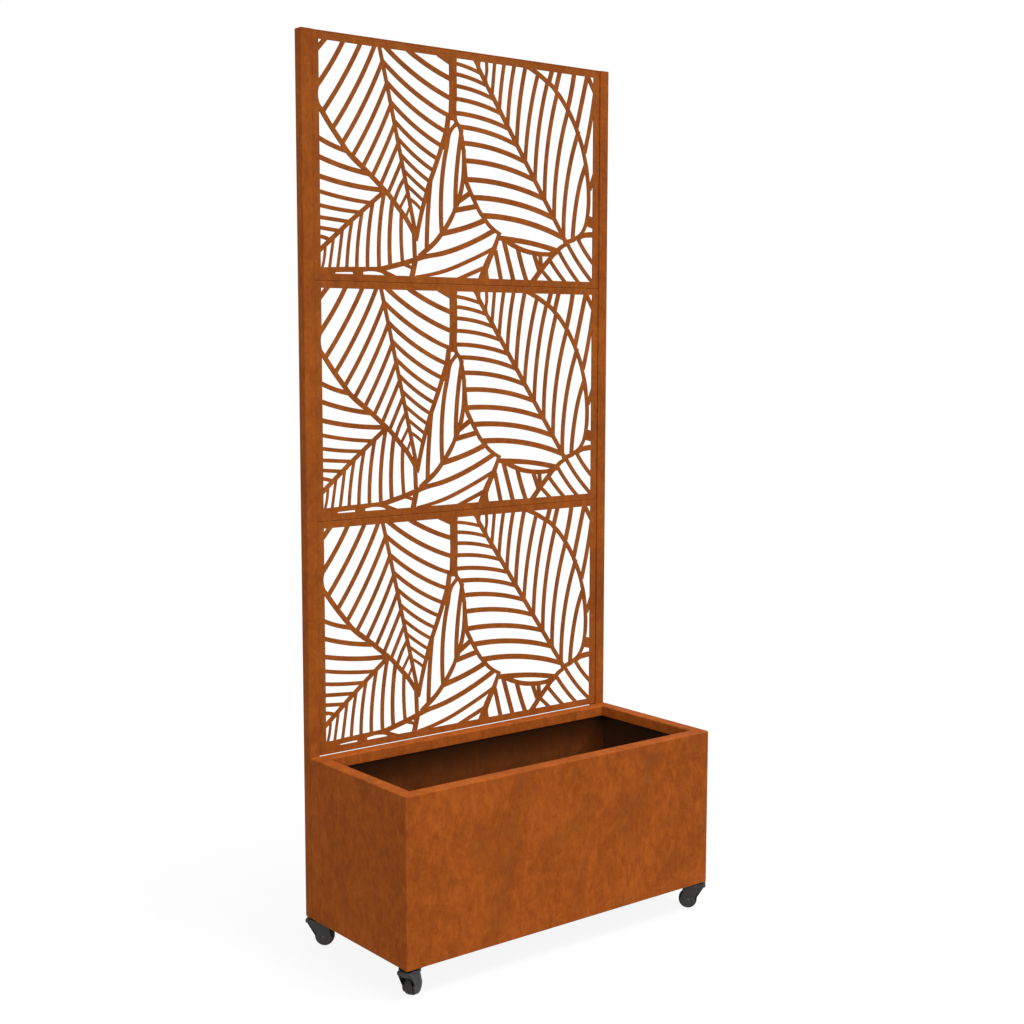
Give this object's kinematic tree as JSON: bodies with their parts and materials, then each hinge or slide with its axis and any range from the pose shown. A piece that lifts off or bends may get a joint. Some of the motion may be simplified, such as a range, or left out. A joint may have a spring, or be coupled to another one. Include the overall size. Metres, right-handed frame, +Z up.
{
  "type": "planter with laser-cut screen",
  "caption": "Rolling steel planter trough with a tall privacy screen at its back, of square posts and sheet panels cut with overlapping veined leaves.",
  "frame": {"origin": "on the floor under the middle of the planter's footprint", "axes": "+Z up, +X along the planter's length, +Y towards the side where the screen stands; the planter's open front faces -Y"},
  "size_m": [1.0203, 0.4782, 2.3076],
  "materials": {
    "weathering_steel": "matt mottled orange-brown rust patina on bare steel sheet",
    "screen_steel": "matt orange-brown rust patina, a little darker at the cut edges",
    "caster_steel": "dark grey satin paint",
    "zinc_steel": "dull zinc plating",
    "wheel_plastic": "moulded dark plastic",
    "tyre": "matt dark rubber"
  },
  "bodies": {
    "planter": {"planter_front": "weathering_steel", "planter_right": "weathering_steel", "planter_back": "weathering_steel", "planter_left": "weathering_steel", "planter_floor": "weathering_steel", "post_left": "weathering_steel", "post_cap_left": "weathering_steel", "post_bolt_left_lower": "zinc_steel", "post_nut_left_lower": "zinc_steel", "post_bolt_left_upper": "zinc_steel", "post_nut_left_upper": "zinc_steel", "post_right": "weathering_steel", "post_cap_right": "weathering_steel", "post_bolt_right_lower": "zinc_steel", "post_nut_right_lower": "zinc_steel", "post_bolt_right_upper": "zinc_steel", "post_nut_right_upper": "zinc_steel", "screen_panel_lower": "screen_steel", "screw_lower_left_low": "zinc_steel", "screw_lower_left_high": "zinc_steel", "screw_lower_right_low": "zinc_steel", "screw_lower_right_high": "zinc_steel", "screen_panel_middle": "screen_steel", "screw_middle_left_low": "zinc_steel", "screw_middle_left_high": "zinc_steel", "screw_middle_right_low": "zinc_steel", "screw_middle_right_high": "zinc_steel", "screen_panel_upper": "screen_steel", "screw_upper_left_low": "zinc_steel", "screw_upper_left_high": "zinc_steel", "screw_upper_right_low": "zinc_steel", "screw_upper_right_high": "zinc_steel", "top_rail": "weathering_steel", "caster_front_left_top_plate": "caster_steel", "caster_front_left_kingpin": "zinc_steel", "caster_front_right_top_plate": "caster_steel", "caster_front_right_kingpin": "zinc_steel", "caster_back_left_top_plate": "caster_steel", "caster_back_left_kingpin": "zinc_steel", "caster_back_right_top_plate": "caster_steel", "caster_back_right_kingpin": "zinc_steel"},
    "fork_front_left": {"caster_front_left_fork": "caster_steel", "caster_front_left_axle": "zinc_steel"},
    "wheel_front_left": {"caster_front_left_wheel": "wheel_plastic", "caster_front_left_tyre": "tyre"},
    "fork_front_right": {"caster_front_right_fork": "caster_steel", "caster_front_right_axle": "zinc_steel"},
    "wheel_front_right": {"caster_front_right_wheel": "wheel_plastic", "caster_front_right_tyre": "tyre"},
    "fork_back_left": {"caster_back_left_fork": "caster_steel", "caster_back_left_axle": "zinc_steel"},
    "wheel_back_left": {"caster_back_left_wheel": "wheel_plastic", "caster_back_left_tyre": "tyre"},
    "fork_back_right": {"caster_back_right_fork": "caster_steel", "caster_back_right_axle": "zinc_steel"},
    "wheel_back_right": {"caster_back_right_wheel": "wheel_plastic", "caster_back_right_tyre": "tyre"}
  },
  "joints": [
    {"name": "swivel_front_left", "type": "hinge", "parent": "planter", "child": "fork_front_left", "pos_m": [-0.473, -0.203, 0.07], "axis": [0, 0, 1], "continuous": true},
    {"name": "spin_front_left", "type": "hinge", "parent": "fork_front_left", "child": "wheel_front_left", "pos_m": [-0.4625, -0.19718, 0.025], "axis": [0.4848, -0.8746, 0], "continuous": true},
    {"name": "swivel_front_right", "type": "hinge", "parent": "planter", "child": "fork_front_right", "pos_m": [0.473, -0.203, 0.07], "axis": [0, 0, 1], "continuous": true},
    {"name": "spin_front_right", "type": "hinge", "parent": "fork_front_right", "child": "wheel_front_right", "pos_m": [0.46452, -0.19451, 0.025], "axis": [0.7071, 0.7071, 0], "continuous": true},
    {"name": "swivel_back_left", "type": "hinge", "parent": "planter", "child": "fork_back_left", "pos_m": [-0.473, 0.203, 0.07], "axis": [0, 0, 1], "continuous": true},
    {"name": "spin_back_left", "type": "hinge", "parent": "fork_back_left", "child": "wheel_back_left", "pos_m": [-0.46452, 0.19451, 0.025], "axis": [-0.7071, -0.7071, 0], "continuous": true},
    {"name": "swivel_back_right", "type": "hinge", "parent": "planter", "child": "fork_back_right", "pos_m": [0.473, 0.203, 0.07], "axis": [0, 0, 1], "continuous": true},
    {"name": "spin_back_right", "type": "hinge", "parent": "fork_back_right", "child": "wheel_back_right", "pos_m": [0.46452, 0.19451, 0.025], "axis": [-0.7071, 0.7071, 0], "continuous": true}
  ]
}
